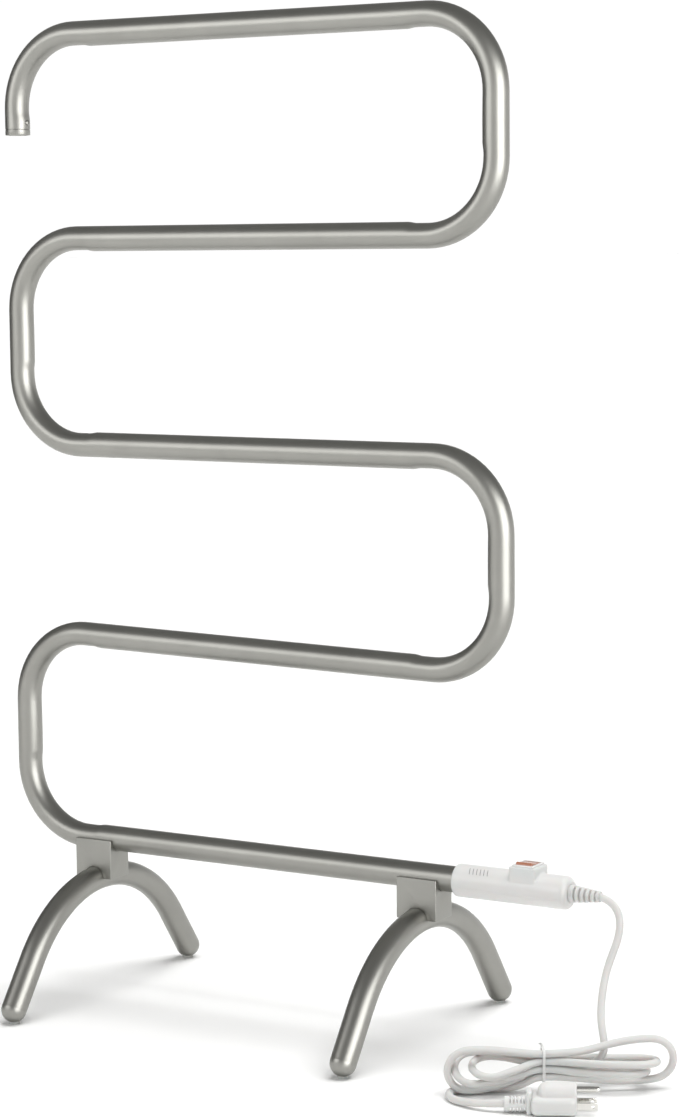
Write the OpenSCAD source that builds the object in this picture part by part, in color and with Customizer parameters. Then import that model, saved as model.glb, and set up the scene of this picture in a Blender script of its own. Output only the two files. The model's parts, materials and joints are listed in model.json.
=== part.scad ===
/* [Bent tube] */
// Outside diameter of the bent tube
tube_od = 22.4; // [21.6:0.1:23.2]
// Wall thickness of the bent tube
tube_wall = 1.2; // [1:0.1:1.5]
// Distance between the left and right runs, centre to centre
frame_w = 489; // [460:1:600]
// How much further out the lower right bend stands
lower_bend_out = 3.5; // [0:0.5:6]
// Centreline radius of the bends
bend_r = 64; // [45:1:80]
// Height of the bottom rail's centre above the floor
bottom_rail_z = 142; // [136:1:160]
// Rise of the lower left bend, rail centre to rail centre
rise_1 = 186.5; // [170:0.5:200]
// How far the second rail from the bottom falls to the right
rail_fall = 9.3; // [0:0.1:12]
// Rise of the lower right bend
rise_2 = 180.8; // [170:0.1:200]
// Rise of the upper left bend
rise_3 = 184; // [170:0.5:200]
// Rise of the upper right bend
rise_4 = 180.7; // [170:0.1:200]
// Length of the top left drop, from the top rail's centre
drop_len = 87.5; // [80:0.5:120]

/* [Feet] */
// Left foot's distance from the left run
left_foot_at = 79.2; // [70:0.5:110]
// Right foot's distance from the left run
right_foot_at = 417; // [380:0.5:420]
// Centreline radius of a foot's arch
arch_r = 132; // [120:1:145]
// Slope of a foot's straight legs
leg_slope = 54.5; // [50:0.5:58]
// Half the distance between the centres of a foot's domed ends
foot_reach = 135; // [130:0.5:150]
// Width of a saddle block, along the rail
block_w = 38.5; // [32:0.5:44]
// Depth of a saddle block
block_d = 28; // [26:0.5:34]

/* [Control housing] */
// Distance of the housing's left end from the left run
housing_at = 450; // [448:1:460]
// Length of the housing
housing_len = 107; // [104:1:120]
// Diameter of the housing
housing_d = 28; // [27.5:0.1:29]
// Side of the square switch tower
tower_side = 25; // [24:0.5:26]
// Height of the tower's top above the rail's centre
tower_rise = 19.5; // [18.5:0.5:21]

/* [Switch] */
// Rocker's size along the rail
rocker_w = 15; // [14:0.5:16]
// Angle between the rocker's two stops
rocker_throw = 18; // [14:1:20]

/* [Cord] */
// Diameter of the mains cord
cord_d = 6.2; // [6:0.1:6.4]
// Heading of the plug on the floor
plug_heading = 28; // [20:1:34]

/* [Hidden] */
$fn = 64;
fit_gap = 0.05;
bend_draw = 0.2;
lap = 1;
tube_r = tube_od / 2;
tube_in_r = tube_r - tube_wall;
cord_r = cord_d / 2;
left_x = -(housing_at + housing_len - tube_r) / 2;
right_x = left_x + frame_w;

// Bent tube: corners of its centreline, x then z, from the top left drop to the housing
rail_2_left_z = bottom_rail_z + rise_1;
rail_2_right_z = rail_2_left_z - rail_fall;
rail_3_z = rail_2_right_z + rise_2;
rail_4_z = rail_3_z + rise_3;
top_rail_z = rail_4_z + rise_4;
tube_inside_housing = 20;
tube_end_x = left_x + housing_at + tube_inside_housing;
cap_h = 5.5;
drop_end_z = top_rail_z - drop_len;
TUBE_CORNERS = [
    [left_x, top_rail_z],
    [right_x, top_rail_z],
    [right_x, rail_4_z],
    [left_x, rail_4_z],
    [left_x, rail_3_z],
    [right_x + lower_bend_out, rail_3_z],
    [right_x + lower_bend_out, rail_2_right_z],
    [left_x, rail_2_left_z],
    [left_x, bottom_rail_z]
];

// Heating cable and its ends
cable_r = 2.6;
cable_start_z = drop_end_z + 26;
cable_end_x = tube_end_x + 8;
seal_r = 4;
seal_len = 14;
splice_r = 4;
splice_len = 24;
splice_x = tube_end_x - 40;

// End cap
spigot_len = 14;
spigot_r = tube_in_r - fit_gap;
cap_screw_z = drop_end_z + cap_h + 5.5;
cap_screw_r = 1.4;
cap_screw_head_r = 2.6;

// Feet
foot_wall = 1.5;
foot_in_r = tube_r - foot_wall;
dome_z = tube_r + 1.2;
leg_len = (foot_reach - arch_r * sin(leg_slope)) / cos(leg_slope);
crown_z = dome_z + leg_len * sin(leg_slope) + arch_r * (1 - cos(leg_slope));
left_foot_x = left_x + left_foot_at;
right_foot_x = left_x + right_foot_at;
foot_spigot_len = 12;
pad_r = 5;
pad_h = 3.4;
block_chamfer = 1.2;
bolt_r = 2.95;
bolt_hole_r = 3.2;
bolt_head_r = 4.9;
bolt_head_h = 5;
access_r = 5.6;
washer_r = 5.3;
washer_h = 1.8;
washer_z = crown_z + 6.2;
rail_under_z = bottom_rail_z - tube_r;
nut_flange_r = 6;
nut_flange_h = 1;
nut_body_r = 4.5;
nut_top_z = bottom_rail_z - cable_r - 1;

// Control housing, along the rail's axis
housing_x = left_x + housing_at;
housing_end_x = housing_x + housing_len;
housing_r = housing_d / 2;
shell_wall = 1.8;
cavity_r = housing_r - shell_wall;
left_round = 2;
right_round = 5;
left_wall = 2.4;
right_wall = 3;
parting_z = -4.2;
tower_x = housing_x + 67;
tower_top_z = bottom_rail_z + tower_rise;
post_r = 2.6;
post_y = 8.2;
HOUSING_POSTS = [housing_x + 38, housing_x + 93];
housing_screw_r = 1.2;
clamp_x = housing_x + 92;
clamp_w = 5;
clamp_screw_y = -5.2;
clamp_screw_r = 0.9;
earth_x = housing_x + 16;
earth_screw_r = 1.2;
tag_z = -9.2;
wire_r = 1;
crimp_r = 1.25;
cutout_r = 2.8;
relief_base_r = 7.5;
relief_tip_r = 4.6;
relief_neck_r = 5.2;

// Switch, rocking about a line along the rail
axis_z = tower_top_z - 2;
switch_in_y = 18.6;
switch_in_x = rocker_w + 0.4;
switch_wall = 0.6;
switch_floor = 1.2;
terminal_y = 6;
terminal_w = 4;
terminal_t = 0.8;
terminal_out = 6;
bezel_lip = 1.2;
bezel_h = 1.6;
switch_depth = 13;
rocker_end_r = 9.1;
rocker_top = 4.6;
rocker_dip = 0.6;
pin_r = 1.1;
plunger_tip = 7;
plunger_r = 1;
spring_bore_r = 1.5;
blade_drop = 7.75;
blade_half = 5.6;
blade_t = 0.8;
blade_rest = rocker_throw / 4;

// Plug, standing on one side with its pins level
plug_x = 302;
plug_y = -154;
plug_axis_z = 7.2;
relief_len = 19.3;
relief_r = 6.2;
collar_t = 4.4;
collar_w = 18;
plug_end = 57.5;
slab_w = 27;
slab_h = 14.8;
slab_round = 5;
dome_r = 10;
pin_spacing = 12.7;
pin_root = 5.8;
blade_width = 6.34;
blade_thick = 1.5;
blade_len = 16.5;
ground_rise = 11.9;
ground_r = 2.38;
ground_root_r = 2;
ground_len = 16.6;

// Cord: where it leaves, its two free stretches, and the hank's round ends as [place, height, radius]
exit_x = housing_end_x + 27;
jacket_end_x = housing_end_x - 17;
DROP_ROUTE = [
    [jacket_end_x, 0, bottom_rail_z], [exit_x - 10, 0, bottom_rail_z], [exit_x, 0, bottom_rail_z],
    [319, 0, 139.5], [326, -1, 134.5], [330, -3, 127], [331.5, -6, 118], [330.5, -10, 108],
    [328.5, -15, 98], [327, -21, 87], [327.5, -28, 76], [329.5, -36, 64], [333, -44, 53],
    [338, -51, 43.5], [341.5, -54.5, 36.1]
];
TAIL_ROUTE = [
    [260, -116, 3.2], [251.5, -121.5, 3.2], [245, -129, 3.2], [244.5, -138.5, 3.2], [250, -147, 3.2],
    [258.5, -153, 3.3], [269.5, -156.5, 4], [281, -157.5, 5.2], [292, -156.5, 6.4], [302, -154, 7.2]
];
hank_x = 256.5;
hank_y = -123;
hank_heading = 35;
HANK_ENDS = [[-3, 20.2, 20], [146.5, 24.8, 20.1]];
hank_waist = 27;
hank_waist_z = 9;
hank_t = 38;
tie_at = 58;
tie_w = 2.4;
tie_t = 1;

// Unit vector and heading from one 2D point to the next
function unit(v) = v / norm(v);
function heading(v) = atan2(v[1], v[0]);
function turn(a, b) = let (t = b - a) t > 180 ? t - 360 : t < -180 ? t + 360 : t;

// Points of a route with round corners: its ends, and steps + 1 points on the arc at each corner
function corner_arc(p, a, b, bend, steps) =
    let (t = turn(a, b), side = sign(t), cut = bend * tan(abs(t) / 2),
         centre = p - cut * [cos(a), sin(a)] + bend * side * [-sin(a), cos(a)])
    [for (k = [0:steps]) let (from_centre = a - 90 * side + t * k / steps)
        centre + bend * [cos(from_centre), sin(from_centre)]];
function rounded_route(pts, bend, steps) =
    let (n = len(pts), dirs = [for (i = [0:n - 2]) heading(pts[i + 1] - pts[i])])
    [pts[0], for (i = [1:n - 2]) each corner_arc(pts[i], dirs[i - 1], dirs[i], bend, steps), pts[n - 1]];

// A round bar of radius r in the X-Z plane: straights through pts, with round bends at its corners.
// Bending draws the tube in a little, so the bends are slimmer than the straights that lap over them.
module bent_bar(pts, r, bend) {
    n = len(pts);
    dirs = [for (i = [0:n - 2]) heading(pts[i + 1] - pts[i])];
    turns = [for (i = [1:n - 2]) turn(dirs[i - 1], dirs[i])];
    cuts = [for (i = [0:n - 1]) i == 0 || i == n - 1 ? 0 : bend * tan(abs(turns[i - 1]) / 2)];
    rotate([90, 0, 0]) {
        for (i = [0:n - 2])
            let (lap_a = i == 0 ? 0 : lap, lap_b = i == n - 2 ? 0 : lap,
                 start = pts[i] + unit(pts[i + 1] - pts[i]) * (cuts[i] - lap_a))
            translate(concat(start, [0]))
            rotate([0, 90, dirs[i]])
            cylinder(h = norm(pts[i + 1] - pts[i]) - cuts[i] - cuts[i + 1] + lap_a + lap_b, r = r);
        for (i = [1:n - 2])
            let (side = sign(turns[i - 1]),
                 start = pts[i] - unit(pts[i] - pts[i - 1]) * cuts[i],
                 from_centre = dirs[i - 1] - 90 * side,
                 centre = start - bend * [cos(from_centre), sin(from_centre)])
            translate(concat(centre, [0]))
            rotate([0, 0, side > 0 ? from_centre : from_centre + turns[i - 1]])
            rotate_extrude(angle = abs(turns[i - 1])) translate([bend, 0]) circle(r - bend_draw);
    }
}

// A round tube swept through 3D points, its rings turned to the local direction
function along(pts, i) = unit(pts[min(i + 1, len(pts) - 1)] - pts[max(i - 1, 0)]);
function ring(p, t, ref, r, sides) =
    let (u = unit(cross(t, ref)), v = cross(u, t))
    [for (k = [0:sides - 1]) p + r * (cos(360 * k / sides) * u + sin(360 * k / sides) * v)];
module swept_tube(pts, r, ref, sides = 10) {
    n = len(pts);
    rings = [for (i = [0:n - 1]) each ring(pts[i], along(pts, i), ref, r, sides)];
    sides_faces = [for (i = [0:n - 2], k = [0:sides - 1]) each
        let (a = i * sides + k, b = i * sides + (k + 1) % sides, c = a + sides, d = b + sides)
        [[a, c, d], [a, d, b]]];
    start = [for (k = [0:sides - 1]) k];
    end = [for (k = [sides - 1:-1:0]) (n - 1) * sides + k];
    polyhedron(rings, concat([start], sides_faces, [end]));
}

module rail_cylinder(x, r, h) {
    translate([x, 0, bottom_rail_z]) rotate([0, 90, 0]) cylinder(r = r, h = h);
}

module vertical_hole(x, z, r, h) {
    translate([x, 0, z]) cylinder(r = r, h = h);
}

// ---- bent tube and what is in it ----

module tube_bar(r, over) {
    start = [left_x, drop_end_z + cap_h - over];
    end = [tube_end_x + over, bottom_rail_z];
    bent_bar(concat([start], TUBE_CORNERS, [end]), r, bend_r);
}

module at_cap_screw() {
    translate([left_x, 0, cap_screw_z]) rotate([0, 90, 0]) children();
}

module frame_tube() {
    color("silver") difference() {
        tube_bar(tube_r, 0);
        tube_bar(tube_in_r, 1);
        at_cap_screw() cylinder(r = cap_screw_r + fit_gap, h = tube_od);
        for (x = [left_foot_x, right_foot_x])
            vertical_hole(x, rail_under_z - 1, nut_body_r + fit_gap, 6);
        vertical_hole(earth_x, rail_under_z - 1, earth_screw_r + fit_gap, 3);
    }
}

module tube_end_cap() {
    color("silver") difference() {
        translate([left_x, 0, drop_end_z]) union() {
            cylinder(r = tube_r, h = cap_h);
            translate([0, 0, cap_h]) cylinder(r = spigot_r, h = spigot_len);
        }
        at_cap_screw() cylinder(r = cap_screw_r + fit_gap, h = tube_od);
    }
}

module end_cap_screw() {
    color("gainsboro") at_cap_screw() {
        translate([0, 0, 3]) cylinder(r = cap_screw_r, h = tube_r - 3);
        translate([0, 0, tube_r]) rotate_extrude() intersection() {
            translate([0, -1.6]) circle(r = 3.1);
            square([cap_screw_head_r, 1.5]);
        }
    }
}

module heating_cable() {
    start = [left_x, cable_start_z];
    end = [cable_end_x, bottom_rail_z];
    route = rounded_route(concat([start], TUBE_CORNERS, [end]), bend_r, 6);
    color("firebrick") swept_tube([for (p = route) [p[0], 0, p[1]]], cable_r, [0, 1, 0], 8);
}

module heating_cable_seal() {
    color("dimgray") translate([left_x, 0, cable_start_z - 3]) difference() {
        cylinder(r = seal_r, h = seal_len);
        translate([0, 0, 3]) cylinder(r = cable_r + fit_gap, h = seal_len);
    }
}

module cable_splice_sleeve() {
    color("dimgray") difference() {
        rail_cylinder(splice_x, splice_r, splice_len);
        rail_cylinder(splice_x - 1, cable_r + fit_gap, splice_len + 2);
    }
}

// ---- feet ----

// The arch's centreline as a bar in the X-Z plane, before it is turned across the rail
module arch_bar(r, end_cut) {
    straight = leg_len - end_cut + lap;
    hip = [arch_r * sin(leg_slope), crown_z - arch_r * (1 - cos(leg_slope))];
    rotate([0, 0, 90]) {
        rotate([90, 0, 0]) translate([0, crown_z - arch_r, 0]) rotate([0, 0, 90 - leg_slope])
            rotate_extrude(angle = 2 * leg_slope) translate([arch_r, 0]) circle(r - bend_draw);
        for (s = [-1, 1])
            translate([s * hip[0], 0, hip[1]])
            rotate([0, s * (90 + leg_slope), 0])
            translate([0, 0, -lap]) cylinder(h = straight, r = r);
    }
}

module foot_arch(x) {
    color("silver") difference() {
        translate([x, 0, 0]) arch_bar(tube_r, 0);
        translate([x, 0, 0]) arch_bar(foot_in_r, -1);
        vertical_hole(x, crown_z - 14, access_r, 14);
        vertical_hole(x, crown_z, bolt_hole_r, 14);
    }
}

// Places its children at a foot's end: x of the foot, s = -1 at the front and 1 at the rear
module at_foot_end(x, s) {
    translate([x, s * foot_reach, dome_z]) children();
}

module foot_cap(x, s) {
    color("silver") difference() {
        union() {
            at_foot_end(x, s) difference() {
                sphere(r = tube_r);
                rotate([s * (90 - leg_slope), 0, 0]) cylinder(r = tube_od, h = tube_od);
            }
            at_foot_end(x, s) rotate([s * (90 - leg_slope), 0, 0])
                cylinder(r = foot_in_r - fit_gap, h = foot_spigot_len);
        }
        at_foot_end(x, s) translate([0, 0, -dome_z]) cylinder(r = pad_r + fit_gap, h = pad_h);
    }
}

module foot_pad(x, s) {
    color("black") at_foot_end(x, s) translate([0, 0, -dome_z]) cylinder(r = pad_r, h = pad_h);
}

module saddle_block(x) {
    half_w = block_w / 2;
    half_d = block_d / 2;
    c = block_chamfer;
    seat_angle = 20;
    color("silver") difference() {
        translate([x, 0, crown_z]) linear_extrude(bottom_rail_z - crown_z) polygon([
            [-half_w + c, -half_d], [half_w - c, -half_d], [half_w, -half_d + c], [half_w, half_d - c],
            [half_w - c, half_d], [-half_w + c, half_d], [-half_w, half_d - c], [-half_w, -half_d + c]
        ]);
        rail_cylinder(x - block_w, tube_r + fit_gap, 2 * block_w);
        translate([x, 0, 0]) rotate([0, 0, 90]) rotate([90, 0, 0])
            translate([0, crown_z - arch_r, 0]) rotate([0, 0, 90 - seat_angle / 2])
            rotate_extrude(angle = seat_angle) translate([arch_r, 0]) circle(tube_r + fit_gap);
        vertical_hole(x, crown_z, bolt_hole_r, 40);
        vertical_hole(x, rail_under_z - nut_flange_h - fit_gap, nut_flange_r + 0.1, 10);
    }
}

module foot_bolts() {
    color("dimgray") for (x = [left_foot_x, right_foot_x]) difference() {
        union() {
            vertical_hole(x, washer_z - bolt_head_h, bolt_head_r, bolt_head_h);
            vertical_hole(x, washer_z, bolt_r, nut_top_z - washer_z - 0.5);
        }
        translate([x, 0, washer_z - bolt_head_h - 1]) cylinder(r = 2.9, h = 4, $fn = 6);
    }
}

module foot_washers() {
    color("gainsboro") for (x = [left_foot_x, right_foot_x]) difference() {
        vertical_hole(x, washer_z, washer_r, washer_h);
        vertical_hole(x, washer_z - 1, bolt_r + fit_gap, washer_h + 2);
    }
}

module rail_rivet_nuts() {
    nut_z = rail_under_z - nut_flange_h;
    color("goldenrod") for (x = [left_foot_x, right_foot_x]) difference() {
        union() {
            vertical_hole(x, nut_z, nut_flange_r, nut_flange_h);
            vertical_hole(x, nut_z, nut_body_r, nut_top_z - nut_z);
        }
        vertical_hole(x, nut_z - 1, bolt_r + fit_gap, 20);
    }
}

// ---- control housing ----

// A disc along the rail from x, with its edge rounded on the side that s = 1 or -1 points to
module rounded_end(x, s, round_r) {
    translate([x, 0, bottom_rail_z]) rotate([0, s * 90, 0]) {
        rotate_extrude() translate([housing_r - round_r, 0]) intersection() {
            circle(round_r);
            square(round_r);
        }
        cylinder(r = housing_r - round_r, h = round_r);
    }
}

module housing_body() {
    rail_cylinder(housing_x + left_round, housing_r, housing_len - left_round - right_round);
    rounded_end(housing_x + left_round, -1, left_round);
    rounded_end(housing_end_x - right_round, 1, right_round);
}

module rounded_square(w, d, r) {
    square([w - 2 * r, d], center = true);
    square([w, d - 2 * r], center = true);
    for (x = [-1, 1], y = [-1, 1])
        translate([x * (w / 2 - r), y * (d / 2 - r)]) circle(r);
}

module tower(side, z0, z1, r) {
    translate([tower_x, 0, bottom_rail_z + z0]) linear_extrude(z1 - z0) rounded_square(side, side, r);
}

module housing_hollow() {
    x0 = housing_x + left_wall;
    rail_cylinder(x0, cavity_r, housing_len - left_wall - right_wall);
    tower(tower_side - 2 * shell_wall, 0, tower_rise - shell_wall, 2.2);
}

module shell_openings() {
    rail_cylinder(housing_x - 1, tube_r + fit_gap, 12);
    rail_cylinder(housing_end_x - 12, relief_neck_r + fit_gap, 20);
    translate([tower_x, 0, tower_top_z - 5]) linear_extrude(10)
        square([switch_in_x + 2 * switch_wall + 0.2, switch_in_y + 2 * switch_wall + 0.2], center = true);
}

module below_parting() {
    translate([housing_x - 5, -30, bottom_rail_z + parting_z - 40]) cube([housing_len + 10, 60, 40]);
}

module posts(z0, z1, r) {
    for (x = HOUSING_POSTS)
        translate([x, post_y, bottom_rail_z + z0]) cylinder(r = r, h = z1 - z0);
}

module clamp_post(z0, z1, r) {
    translate([clamp_x + clamp_w / 2, clamp_screw_y, bottom_rail_z + z0]) cylinder(r = r, h = z1 - z0);
}

module housing_upper_shell() {
    color("white") difference() {
        union() {
            difference() {
                union() {
                    housing_body();
                    tower(tower_side, 0, tower_rise, 3);
                }
                housing_hollow();
            }
            intersection() {
                posts(parting_z, 8, post_r);
                rail_cylinder(housing_x, housing_r - 0.5, housing_len);
            }
        }
        shell_openings();
        below_parting();
        posts(parting_z - 1, 5, housing_screw_r + fit_gap);
    }
}

module housing_lower_shell() {
    color("white") difference() {
        intersection() {
            union() {
                difference() {
                    housing_body();
                    housing_hollow();
                }
                intersection() {
                    union() {
                        posts(-12, parting_z, post_r);
                        clamp_post(-12, parting_z, 2);
                    }
                    rail_cylinder(housing_x, housing_r - 0.5, housing_len);
                }
            }
            below_parting();
        }
        shell_openings();
        clamp_post(-9, parting_z + 1, clamp_screw_r + fit_gap);
        posts(-20, parting_z + 1, housing_screw_r + 0.2);
        posts(-20, -7.8, 2.35);
    }
}

module housing_screws() {
    color("gainsboro") {
        posts(-7.8, 3.5, housing_screw_r);
        posts(-9.2, -7.8, 2.25);
    }
}

module tube_locator_ring() {
    color("lightgray") difference() {
        rail_cylinder(housing_x + 4, cavity_r - fit_gap, 8);
        rail_cylinder(housing_x + 3, tube_r + fit_gap, 10);
    }
}

// ---- switch ----

module switch_block(w, d, z0, z1) {
    translate([tower_x, 0, z0]) linear_extrude(z1 - z0) square([w, d], center = true);
}

module switch_body() {
    outer_x = switch_in_x + 2 * switch_wall;
    outer_y = switch_in_y + 2 * switch_wall;
    bezel_x = outer_x + 2 * bezel_lip;
    bezel_y = outer_y + 2 * bezel_lip;
    base_z = tower_top_z - switch_depth;
    color("ghostwhite") difference() {
        union() {
            switch_block(bezel_x, bezel_y, tower_top_z, tower_top_z + bezel_h);
            switch_block(outer_x, outer_y, base_z, tower_top_z + 0.1);
        }
        switch_block(switch_in_x, switch_in_y, base_z + switch_floor, tower_top_z + 5);
        translate([tower_x - 10, 0, axis_z]) rotate([0, 90, 0]) cylinder(r = pin_r + fit_gap, h = 20);
        for (y = [-terminal_y, 0, terminal_y])
            translate([tower_x, y, base_z - 1]) linear_extrude(4)
            square([terminal_w + 0.1, terminal_t + 0.1], center = true);
    }
}

// Rocker's side view, y then z about its own pivot, level
module rocker_profile() {
    difference() {
        intersection() {
            circle(r = rocker_end_r);
            translate([-10, -2.4]) square([20, 2.4 + rocker_top]);
        }
        polygon([[-10, rocker_top + 0.01], [0, rocker_top - rocker_dip], [10, rocker_top + 0.01]]);
    }
}

module at_rocker() {
    translate([tower_x, 0, axis_z]) rotate([-rocker_throw / 2, 0, 0]) children();
}

module rocker() {
    inner_w = rocker_w - 2.4;
    boss_r = 2.4;
    color([0.95, 0.55, 0.4, 0.8]) at_rocker() union() {
        difference() {
            rotate([90, 0, 90]) linear_extrude(rocker_w, center = true) rocker_profile();
            translate([0, 0, -1.6]) cube([inner_w, 14, 7], center = true);
        }
        difference() {
            translate([0, 0, -1.2]) cylinder(r = boss_r, h = 4.2);
            translate([0, 0, -2.2]) cylinder(r = spring_bore_r, h = 4.4);
        }
        for (s = [-1, 1])
            translate([s * (rocker_w / 2 + 0.1), 0, 0]) rotate([0, 90, 0])
            cylinder(r = pin_r, h = 1, center = true);
    }
}

module switch_plunger() {
    color("ivory") at_rocker() {
        translate([0, 0, plunger_r - plunger_tip]) sphere(r = plunger_r);
        translate([0, 0, plunger_r - plunger_tip]) cylinder(r = plunger_r, h = 5.6);
    }
}

module switch_spring() {
    turns = 4;
    steps = 12;
    spring_wire_r = 0.12;
    helix_r = 1.2;
    top_z = 1.8;
    pitch = 0.6;
    helix = [for (i = [0:turns * steps])
        [helix_r * cos(360 * i / steps), helix_r * sin(360 * i / steps), top_z - pitch * i / steps]];
    color("gainsboro") at_rocker() swept_tube(helix, spring_wire_r, [0, 0, 1], 6);
}

module at_blade() {
    translate([tower_x, 0, axis_z - blade_drop]) rotate([blade_rest, 0, 0]) children();
}

module contact_blade() {
    color("goldenrod") at_blade() union() {
        cube([4, 2 * blade_half, blade_t], center = true);
        rotate([0, 90, 0]) cylinder(r = 0.6, h = 4, center = true);
        for (s = [-1, 1])
            translate([0, s * (blade_half - 1.2), -blade_t / 2 - 0.5]) cylinder(r = 1, h = 0.6);
    }
}

module switch_terminals() {
    base_z = tower_top_z - switch_depth;
    color("silver") {
        for (y = [-terminal_y, 0, terminal_y])
            translate([tower_x, y, base_z - terminal_out])
            linear_extrude(terminal_out + (y == 0 ? 2.6 : 2.2))
            square([terminal_w, terminal_t], center = true);
    }
}

module neon_lamp() {
    color("orange") translate([tower_x - 4.8, 0, axis_z - 5.2]) rotate([90, 0, 0])
        cylinder(r = 1.2, h = 7, center = true);
}

// ---- wiring in the housing ----

module wire(pts) {
    swept_tube([for (p = pts) [housing_x + p[0], p[1], bottom_rail_z + p[2]]], wire_r, [0, 0, 1], 8);
}

module live_wire() {
    color("saddlebrown") {
        wire([
            [89.9, -1.2, 1], [87.5, -1.2, 1], [83, -4.4, 0.6],
            [76, -6.2, 1], [71.5, -6, 2], [69.1, -6, 2]
        ]);
        wire([[64.9, 0, 2], [63, 0, 2], [58, 0, 3.6], [54, 0, 5], [52.2, 0, 5]]);
        wire([[39.8, 0, 5], [38.6, 0, 5], [37.2, -0.8, 2.6], [36, -1.35, 0.8], [34.2, -1.35, 0.8]]);
    }
}

module neutral_wire() {
    color("steelblue")
        wire([
            [89.9, 1.2, 1], [87.5, 1.2, 1], [84, 3.4, -1.6], [72, 5, -4],
            [56, 5, -4], [44, 3.6, -2.6], [36.4, 1.35, -0.8], [34.2, 1.35, -0.8]
        ]);
}

module earth_wire() {
    color("yellowgreen")
        wire([
            [89.9, 0, -1.8], [87.5, 0, -1.8], [82, -1, -5], [62, -2, -6.6],
            [44, -2.4, -7], [32, -2, -8], [27, -0.6, -8.8], [24.6, -0.6, -8.8]
        ]);
}

module rail_part(x, y, z, r, h) {
    translate([housing_x + x, y, bottom_rail_z + z]) rotate([0, 90, 0]) cylinder(r = r, h = h);
}

module crimp_connectors() {
    color("tomato") {
        rail_part(28.1, 1.35, -0.8, crimp_r, 6);
        rail_part(28.1, -1.35, 0.8, crimp_r, 6);
    }
}

module thermal_cutout() {
    color("dimgray") rail_part(40, 0, 5, cutout_r, 12);
}

module earth_tag() {
    color("goldenrod") difference() {
        translate([earth_x - 2.4, -2, bottom_rail_z + tag_z]) cube([10.8, 4, 0.8]);
        vertical_hole(earth_x, bottom_rail_z + tag_z - 1, earth_screw_r + fit_gap, 3);
    }
}

module earth_screw() {
    color("silver") {
        vertical_hole(earth_x, bottom_rail_z - tube_r + 0.1, earth_screw_r, tube_r + tag_z + 0.7);
        vertical_hole(earth_x, bottom_rail_z + tag_z + 0.8, 2, 1.2);
    }
}

module cord_clamp() {
    color("ivory") difference() {
        translate([clamp_x, -7, bottom_rail_z + 0.4]) cube([clamp_w, 12.4, 5.4]);
        rail_cylinder(clamp_x - 1, cord_r + fit_gap, clamp_w + 2);
        clamp_post(-1, 7, clamp_screw_r + fit_gap);
    }
}

module cord_clamp_screws() {
    color("silver") {
        clamp_post(-8.5, 5.8, clamp_screw_r);
        clamp_post(5.8, 7, 1.7);
    }
}

// ---- cord, hank and plug ----

module strain_relief() {
    relief_x = housing_end_x;
    color("whitesmoke") difference() {
        union() {
            rail_cylinder(relief_x - 8, relief_neck_r, 8.2);
            rail_cylinder(relief_x - 5.6, relief_neck_r + 2.4, 2.5);
            translate([relief_x + 0.1, 0, bottom_rail_z]) rotate([0, 90, 0])
                cylinder(r1 = relief_base_r, r2 = relief_tip_r, h = exit_x - relief_x - 0.1);
        }
        rail_cylinder(relief_x - 10, cord_r + fit_gap, 60);
    }
}

module cord_drop() {
    color("white") swept_tube(DROP_ROUTE, cord_r, [0, 1, 0]);
}

module in_hank_plane() {
    translate([hank_x, hank_y, 0]) rotate([90, 0, hank_heading]) children();
}

module cord_hank() {
    color("white") in_hank_plane() linear_extrude(hank_t, center = true) {
        for (e = HANK_ENDS)
            translate([e[0], e[1]]) circle(e[2]);
        translate([HANK_ENDS[0][0], hank_waist_z]) square([HANK_ENDS[1][0] - HANK_ENDS[0][0], hank_waist]);
    }
}

module cord_tie() {
    h = hank_waist + 2 * tie_t;
    color("white") in_hank_plane() translate([tie_at, hank_waist_z + hank_waist / 2, 0]) difference() {
        cube([tie_w, h, hank_t + 2 * tie_t], center = true);
        cube([tie_w + 2, hank_waist + 0.05, hank_t + 0.05], center = true);
    }
}

module cord_tail() {
    color("white") swept_tube(TAIL_ROUTE, cord_r, [0, 0, 1]);
}

module at_plug() {
    translate([plug_x, plug_y, plug_axis_z]) rotate([0, 0, plug_heading]) children();
}

module plug_body() {
    floor_z = 0.2 - plug_axis_z;
    slab_x = relief_len + 3;
    color("whitesmoke") at_plug() difference() {
        union() {
            translate([0.6, 0, 0]) rotate([0, 90, 0]) cylinder(r = relief_r, h = relief_len);
            translate([relief_len - 1, -collar_w / 2, floor_z]) cube([collar_t, collar_w, collar_w]);
            translate([slab_x, 0, 0]) rotate([90, 0, 90]) linear_extrude(plug_end - slab_x) {
                translate([0, floor_z + slab_h / 2]) rounded_square(slab_w, slab_h, slab_round);
                translate([0, floor_z + slab_h - 0.2]) circle(dome_r);
            }
        }
        translate([plug_end - 6, 0, 0]) rotate([0, 90, 0]) for (s = [-1, 1])
            translate([0, s * pin_spacing / 2, 0]) linear_extrude(10)
                square([blade_width + 0.1, blade_thick + 0.1], center = true);
        translate([plug_end - 6, 0, ground_rise]) rotate([0, 90, 0])
            cylinder(r = ground_root_r + fit_gap, h = 10);
        translate([-1, 0, 0]) rotate([0, 90, 0]) cylinder(r = cord_r + fit_gap, h = 9);
    }
}

module plug_blades() {
    whole_len = pin_root + blade_len;
    color("silver") at_plug() for (s = [-1, 1])
        translate([plug_end - pin_root, s * pin_spacing / 2, 0]) difference() {
            translate([0, -blade_thick / 2, -blade_width / 2]) cube([whole_len, blade_thick, blade_width]);
            translate([whole_len - 4, 2, 0]) rotate([90, 0, 0]) cylinder(r = 1.5, h = 4);
        }
}

module plug_ground_pin() {
    color("silver") at_plug() translate([plug_end - pin_root, 0, ground_rise]) rotate([0, 90, 0]) {
        cylinder(r = ground_root_r, h = pin_root);
        translate([0, 0, pin_root]) cylinder(r = ground_r, h = ground_len);
        translate([0, 0, pin_root + ground_len]) sphere(r = ground_r);
    }
}

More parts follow.
